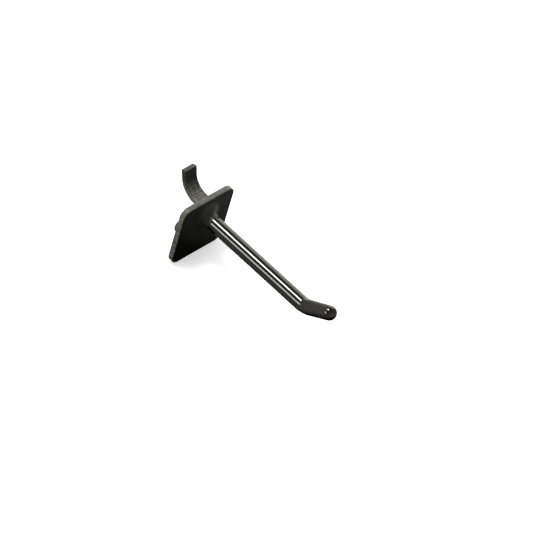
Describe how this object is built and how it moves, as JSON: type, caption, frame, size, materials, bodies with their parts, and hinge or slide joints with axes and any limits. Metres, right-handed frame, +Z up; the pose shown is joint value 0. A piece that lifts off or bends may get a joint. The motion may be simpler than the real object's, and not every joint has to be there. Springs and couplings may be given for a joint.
{
  "type": "pegboard hook",
  "caption": "Peg hook: a round arm with an upturned tip on a flat back plate, with a curved prong and a round peg behind that hold it in a perforated board.",
  "frame": {"origin": "centre of the back plate's rear face, which lies on the board", "axes": "+Y into the board, -Y out along the arm, +Z up, X across the plate"},
  "size_m": [0.0346, 0.1081, 0.0452],
  "materials": {
    "plate_finish": "satin black over pressed steel, greyer along its sheared edges",
    "arm_finish": "black nickel plate over drawn bar, near mirror",
    "ring_finish": "satin black over a weld dressed smooth",
    "prong_finish": "satin black over sheared strip, mottled and slightly rough",
    "peg_finish": "satin black over turned bar",
    "weld_finish": "black over a rippled weld bead, worn to grey on its ridges"
  },
  "bodies": {
    "root": {"back_plate": "plate_finish", "hook_arm": "arm_finish", "arm_weld": "ring_finish", "retaining_prong": "prong_finish", "prong_weld": "weld_finish", "locating_peg": "peg_finish"}
  },
  "joints": []
}
